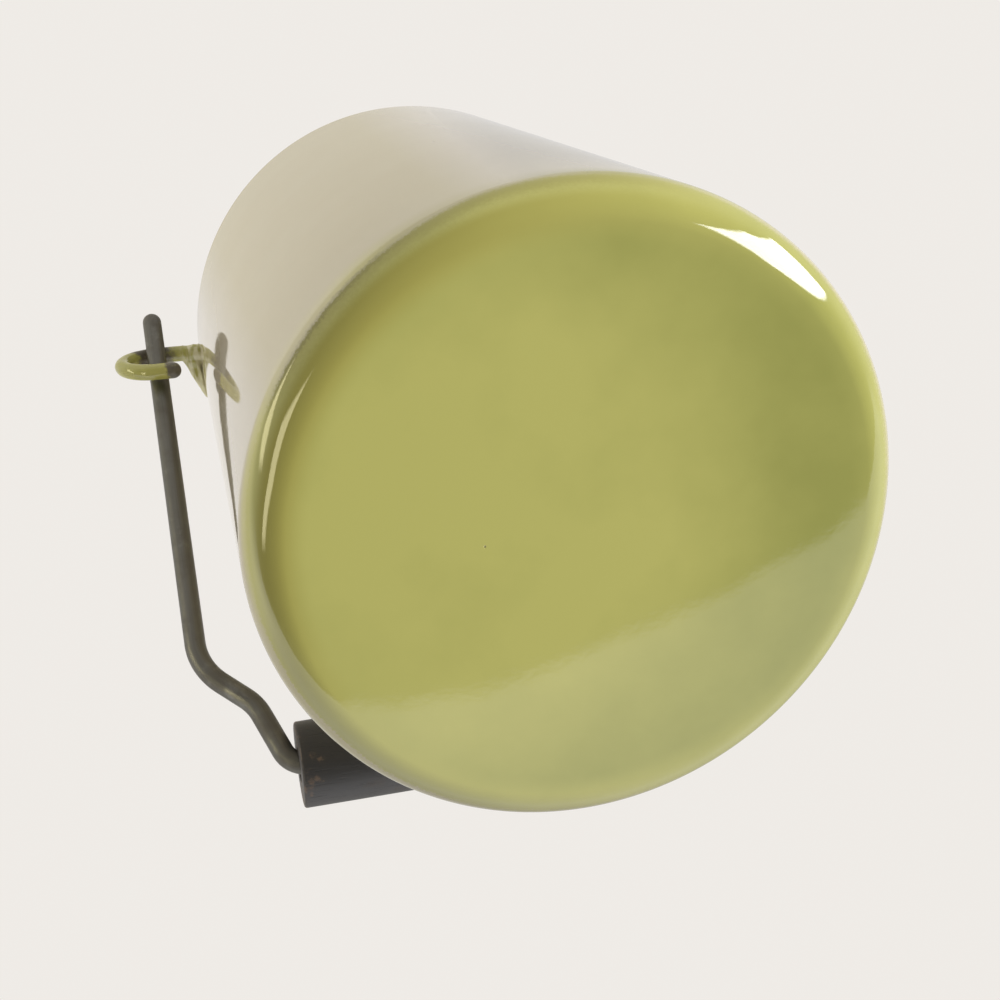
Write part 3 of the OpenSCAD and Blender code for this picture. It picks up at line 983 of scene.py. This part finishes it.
def slotted_screw(steel):
    """The screw through the lid into the knob, with a slotted round head below."""
    head_r = screw_high.x
    head_top = cap_high.z - SHEET
    head_h = head_top - screw_low.z
    dome = arc((0, 0), 1, -90, 0, SCREW_HEAD_STEPS)
    profile = [Vector((point.x * head_r, head_top + point.y * head_h)) for point in dome]
    profile += [Vector((SCREW_R, head_top)), Vector((SCREW_R, screw_high.z)), Vector((0, screw_high.z))]
    points, faces, _ = turned(profile, steps=SCREW_TURN_STEPS)
    piece = shape("slotted_screw", points, faces, [steel])
    # The cutter's middle is the head's lowest point, and it is longer than the head is wide
    cutter_mesh = bpy.data.meshes.new("slot_cutter")
    work = bmesh.new()
    size = Matrix.Diagonal((head_r * 3, SLOT_WIDTH, SLOT_DEPTH * 2, 1))
    bmesh.ops.create_cube(work, size=1, matrix=Matrix.Translation((0, 0, screw_low.z)) @ size)
    work.to_mesh(cutter_mesh)
    work.free()
    cutter = add("slot_cutter", cutter_mesh)
    cut = piece.modifiers.new("slot", "BOOLEAN")
    cut.operation = "DIFFERENCE"
    cut.object = cutter
    applied(piece)
    piece.data.set_sharp_from_angle(angle=SHARP_EDGE)
    bpy.data.objects.remove(cutter)
    return fit(piece, "lid", "knob_screw")


body_enamel = shaded_enamel()
lining = lining_enamel()
lid_enamel = green_enamel()
eye_enamel = ear_enamel()
steel_finish = wire_steel()
screw_finish = bright_steel()
can_body(body_enamel, lining)
can_shoulder(necked_enamel())
mouth_wire(screw_finish)
ear("left_ear", "ear_left", -1, eye_enamel)
ear("right_ear", "ear_right", 1, eye_enamel)
bail(steel_finish)
wood_grip(dark_wood("grip_wood", ALONG_X, GRIP_AXIS, GRIP_LEN / 2))
lid_dome(lid_enamel, lining)
lid_sleeve(lid_enamel)
wood_knob(dark_wood("knob_wood", ALONG_Z, (0, 0, knob_low.z)))
steel_washer(screw_finish)
slotted_screw(screw_finish)

# The photo's view: where it is taken from, the point in its middle, its upward direction and its lens
SEEN_FROM = Vector((-0.0682, -0.0908, -0.2122))
SEEN_AT = Vector((-0.0167, -0.0077, 0.0))
UPWARD = Vector((0.1230, -0.9339, 0.3359))
LENS_MM = 48.15
SENSOR_MM = 36
CLIP_START = 0.01

# The studio: its pale light, the floor and the ring that stops the light from below
WORLD_ABOVE = (0.863, 0.833, 0.795, 1)
WORLD_BELOW = (0.30, 0.295, 0.28, 1)
WORLD_FADE_LOW = -0.6
WORLD_FADE_HIGH = 0.05
FLOOR_LIGHT = srgb(212, 209, 205)
FLOOR_DARK = srgb(206, 203, 198)
FLOOR_HALF = 4.0
FLOOR_DROP = 0.2 * MM
STOP_IN = 90 * MM
STOP_OUT = 1500 * MM
STOP_DROP = 1 * MM
STOP_STEPS = 96
STOP_COLOUR = srgb(190, 187, 181)

# The soft lights, all aimed at one point: name, place, size and power
LIT_POINT = Vector((0, 0, 0.05))
SOFT_LIGHTS = (
    ("key", (0.26, 0.42, 1.2), 0.35, 5),
    ("fill", (-0.15, 1.0, 0.95), 0.8, 4),
    ("left_fill", (-2.0, 0.5, 1.25), 0.6, 7.3),
    ("window", (1.73, -0.53, -0.85), 1.0, 55.5),
    ("corner_fill", (-1.28, -0.38, -0.68), 0.8, 2.2),
)

# Cards that the base's corner mirrors, as spots of (turn about the can, lean) on the corner, in degrees
GLINT_REACH = 0.6
WINDOW_SPOTS = [(291, 14), (299, 28), (302, 31), (305, 42), (313, 38), (319, 36), (318, 20), (307, 9)]
UPPER_STRIP_SPOTS = [(216, 60), (209, 59), (204, 57), (198, 48), (198, 43), (204, 48), (209, 54)]
LOWER_STRIP_SPOTS = [(215, 28), (206, 34), (196, 30), (185, 31), (185, 27), (195, 23), (205, 26)]
WINDOW_LIGHT = (16, 16, 16, 1)
STRIP_LIGHT = (6.3, 5.8, 3.8, 1)

# Bands round the can, with low edges of (turn, lift) in degrees, which blur at both edges
BAND_REACH = 0.62
LOW_BLUR = 0.5
TOP_BLUR = 10
LEAST_HEIGHT = 4
PALE_EDGE = [
    (0, -12), (8, -18), (20, -36), (31, -49), (40, -52), (60, -56), (75, -57), (90, -58), (102, -54),
    (115, -47), (132, -35), (155, -19), (175, -8),
]
PALE_TOP = 0
PALE_LIGHT = (1.55, 1.55, 1.58, 1)
DIM_EDGE = [(turn, 16) for turn in range(-30, 141, 10)]
DIM_TOP = 48
DIM_LIGHT = (0.6, 0.59, 0.55, 1)

# Cards above the can: name, left and right edge, and light
OVERHEAD_Z = 1.0
OVERHEAD_FRONT = -0.8
OVERHEAD_BACK = 0.08
OVERHEAD_FEATHER = 0.15
OVERHEADS = (
    ("warm_overhead", -0.75, 0.12, (0.78, 0.735, 0.6, 1)),
    ("cool_overhead", 0.2, 0.75, (0.74, 0.73, 0.72, 1)),
)


def photo_camera():
    """The camera at the photo's viewing angle."""
    sight = (SEEN_AT - SEEN_FROM).normalized()
    right = sight.cross(UPWARD).normalized()
    upright = right.cross(sight)
    data = bpy.data.cameras.new("camera")
    data.lens = LENS_MM
    data.sensor_width = SENSOR_MM
    data.clip_start = CLIP_START
    camera = add("camera", data)
    turn = Matrix((right, upright, -sight)).transposed()
    camera.matrix_world = Matrix.Translation(SEEN_FROM) @ turn.to_4x4()
    bpy.context.scene.camera = camera


def pale_world():
    """Pale light from above and around, and dimmer light from below."""
    world = bpy.data.worlds.new("studio")
    world.use_nodes = True
    bpy.context.scene.world = world
    nodes = Nodes(world.node_tree)
    _, _, height = nodes.coordinates(nodes.node("TexCoord"))
    above = nodes.fade(height, WORLD_FADE_LOW, WORLD_FADE_HIGH)
    colour = nodes.mix(above, WORLD_BELOW, WORLD_ABOVE)
    nodes.feed(world.node_tree.nodes["Background"].inputs["Color"], colour)


def blended(finish, share, first, second):
    """Gives a finish a surface between two shaders."""
    seen = finish.node("MixShader", {}, {0: share, 1: first, 2: second})
    finish.tree.links.new(seen.socket, finish.tree.nodes["Material Output"].inputs["Surface"])


def clear_from_below(finish):
    """Lets light and sight through a surface's lower side."""
    behind = finish.node("NewGeometry").beside("Backfacing")
    solid = Signal(finish, finish.shader.outputs[0])
    blended(finish, behind, solid, finish.node("BsdfTransparent"))


def pale_floor():
    """A pale floor that is seen from above and lets light and sight through from below."""
    finish = Finish("floor")
    shade = finish.cloud(finish.place(), 6, 2.0)
    colour = finish.mix(shade, FLOOR_LIGHT, FLOOR_DARK)
    finish.set(Base_Color=colour, Specular_IOR_Level=0.0)
    clear_from_below(finish)
    corners = [(x * FLOOR_HALF, y * FLOOR_HALF, 0) for x, y in ((-1, -1), (1, -1), (1, 1), (-1, 1))]
    floor = add("floor", mesh_of("floor", corners, [[0, 1, 2, 3]], [finish.material]))
    floor.location.z = -FLOOR_DROP
    floor.visible_diffuse = False
    floor.visible_glossy = False
    floor.visible_transmission = False
    floor.visible_shadow = False


def light_stop():
    """A ring at the floor's level, which keeps the lights below off the wall.

    It throws light up as a floor does.
    """
    finish = Finish("light_stop")
    finish.set(Base_Color=STOP_COLOUR, Roughness=0.9)
    clear_from_below(finish)
    points, faces, _ = turned([(STOP_IN, -STOP_DROP), (STOP_OUT, -STOP_DROP)], steps=STOP_STEPS)
    upward = [face[::-1] for face in faces]
    stop = add("light_stop", mesh_of("light_stop", points, upward, [finish.material]))
    stop.visible_camera = False
    stop.visible_glossy = False
    stop.visible_transmission = False


def soft_light(name, place, size, power):
    """A square soft light that shines on the can from a place, and isn't seen or mirrored."""
    data = bpy.data.lights.new(name, "AREA")
    data.shape = "SQUARE"
    data.size = size
    data.energy = power
    light = add(name, data)
    light.location = place
    light.rotation_mode = "QUATERNION"
    light.rotation_quaternion = (LIT_POINT - Vector(place)).to_track_quat("-Z", "Y")
    light.visible_camera = False
    light.visible_glossy = False


def reflector(name, points, faces, strengths, light):
    """A card that only shows in reflections, and fades out where its strength does."""
    finish = Finish(name)
    strength = finish.node("Attribute", {"attribute_name": "strength"}).beside("Fac")
    glow = finish.node("Emission", {}, {"Color": light})
    blended(finish, strength, finish.node("BsdfTransparent"), glow)
    mesh = mesh_of(name, points, faces, [finish.material])
    attribute = mesh.attributes.new("strength", "FLOAT", "POINT")
    attribute.data.foreach_set("value", strengths)
    made = add(name, mesh)
    made.visible_camera = False
    made.visible_diffuse = False
    made.visible_shadow = False


def card(name, corners, light, feather):
    """A flat reflector, whose edge fades out over a share of its size."""
    count = len(corners)
    middle = sum(corners, Vector()) / count
    points = [middle.lerp(corner, 1 - feather) for corner in corners]
    points += [middle.lerp(corner, 1 + feather) for corner in corners]
    faces = [list(range(count))]
    for i in range(count):
        j = (i + 1) % count
        faces.append([i, j, count + j, count + i])
    reflector(name, points, faces, [1.0] * count + [0.0] * count, light)


def toward(turn, lift):
    """A direction at a turn about Z and a lift above level, in degrees."""
    turn = math.radians(turn)
    lift = math.radians(lift)
    return Vector((math.cos(lift) * math.cos(turn), math.cos(lift) * math.sin(turn), math.sin(lift)))


def mirrored(turn, lean):
    """Where the photo's line of sight goes after the base's corner mirrors it, at a turn and a lean."""
    normal = toward(turn, lean - 90)
    ring = toward(turn, 0) * (BODY_R - BASE_CORNER_R)
    point = ring + Vector((0, 0, BASE_CORNER_R)) + normal * BASE_CORNER_R
    sight = (point - SEEN_FROM).normalized()
    return point + (sight - normal * (2 * sight.dot(normal))) * GLINT_REACH


def band(name, low_edge, top, light):
    """A curved reflector about the base, from a low edge up to a level top."""
    points = []
    strengths = []
    faces = []
    last = len(low_edge) - 1
    for i, (turn, low) in enumerate(low_edge):
        full = int(0 < i < last)
        lifts = (low - LOW_BLUR, low + LOW_BLUR, max(low + LEAST_HEIGHT, top - TOP_BLUR), top + TOP_BLUR)
        points += [toward(turn, lift) * BAND_REACH for lift in lifts]
        strengths += [0, full, full, 0]
    for i in range(last):
        for j in range(3):
            at = 4 * i + j
            faces.append([at, at + 1, at + 5, at + 4])
    reflector(name, points, faces, strengths, light)


bpy.context.scene.view_settings.view_transform = "Standard"
photo_camera()
pale_world()
pale_floor()
light_stop()
for name, place, size, power in SOFT_LIGHTS:
    soft_light(name, place, size, power)
for name, spots, light, feather in (
    ("window_card", WINDOW_SPOTS, WINDOW_LIGHT, 0.07),
    ("upper_strip_card", UPPER_STRIP_SPOTS, STRIP_LIGHT, 0.2),
    ("lower_strip_card", LOWER_STRIP_SPOTS, STRIP_LIGHT, 0.15),
):
    card(name, [mirrored(*spot) for spot in spots], light, feather)
band("pale_band", PALE_EDGE, PALE_TOP, PALE_LIGHT)
band("dim_band", DIM_EDGE, DIM_TOP, DIM_LIGHT)
for name, left, right, light in OVERHEADS:
    front = [Vector((x, OVERHEAD_FRONT, OVERHEAD_Z)) for x in (right, left)]
    back = [Vector((x, OVERHEAD_BACK, OVERHEAD_Z)) for x in (left, right)]
    card(name, front + back, light, OVERHEAD_FEATHER)
